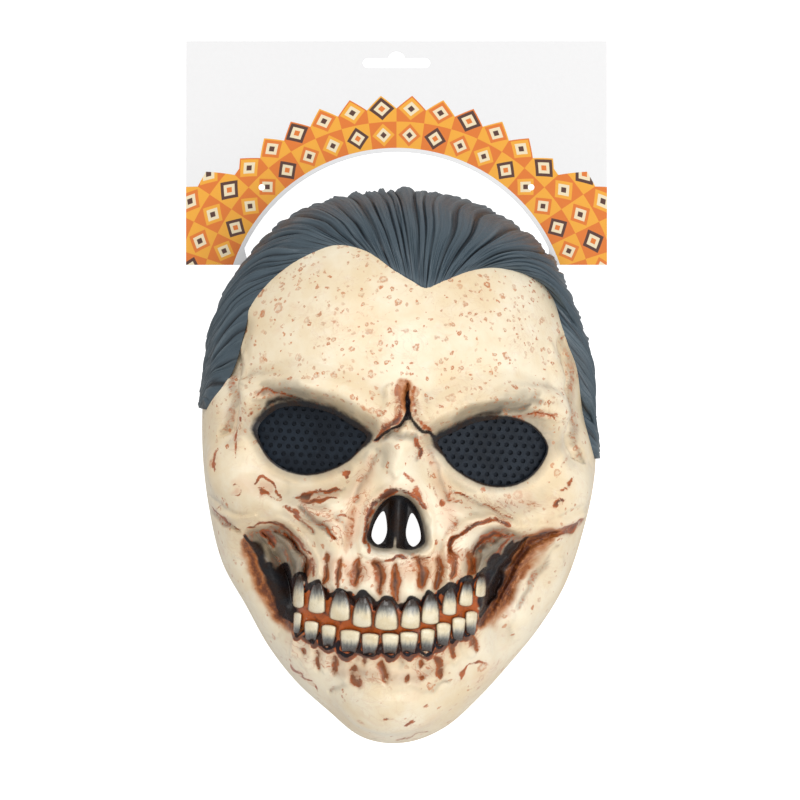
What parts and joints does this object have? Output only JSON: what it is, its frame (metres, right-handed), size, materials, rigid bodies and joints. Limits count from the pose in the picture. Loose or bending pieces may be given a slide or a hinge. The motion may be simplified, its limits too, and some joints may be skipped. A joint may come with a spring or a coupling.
{
  "type": "skull mask on a header card",
  "caption": "Hollow moulded skull face mask with swept hair, tooth rows and meshed eyes, on a flat header card with an arch and a hanging slot.",
  "frame": {"origin": "Bottom centre of the whole part: the point on the resting surface under the middle of its box.", "axes": "+Z comes out of the face, +Y runs up the card towards the crown, +X is the card's right side seen from the front. The mask leans 3.6 degrees clockwise in this frame."},
  "size_m": [0.2, 0.3331, 0.0947],
  "materials": {
    "bone": "painted latex, bone cream with rust brown washes and speckles, slightly glossy",
    "hair": "painted latex, slate grey with lighter ridges, semi-gloss",
    "teeth": "painted latex, ivory with dark roots, glossy",
    "eye_mesh": "dark blue-grey pierced mesh",
    "gauze": "fine black gauze",
    "card": "coated pale card, satin"
  },
  "bodies": {
    "root": {"face_shell": "bone", "hair": "hair", "upper_teeth": "teeth", "lower_teeth": "teeth", "eye_mesh_left": "eye_mesh", "eye_mesh_right": "eye_mesh", "eye_gauze_left": "gauze", "eye_gauze_right": "gauze", "header_card": "card"}
  },
  "joints": []
}
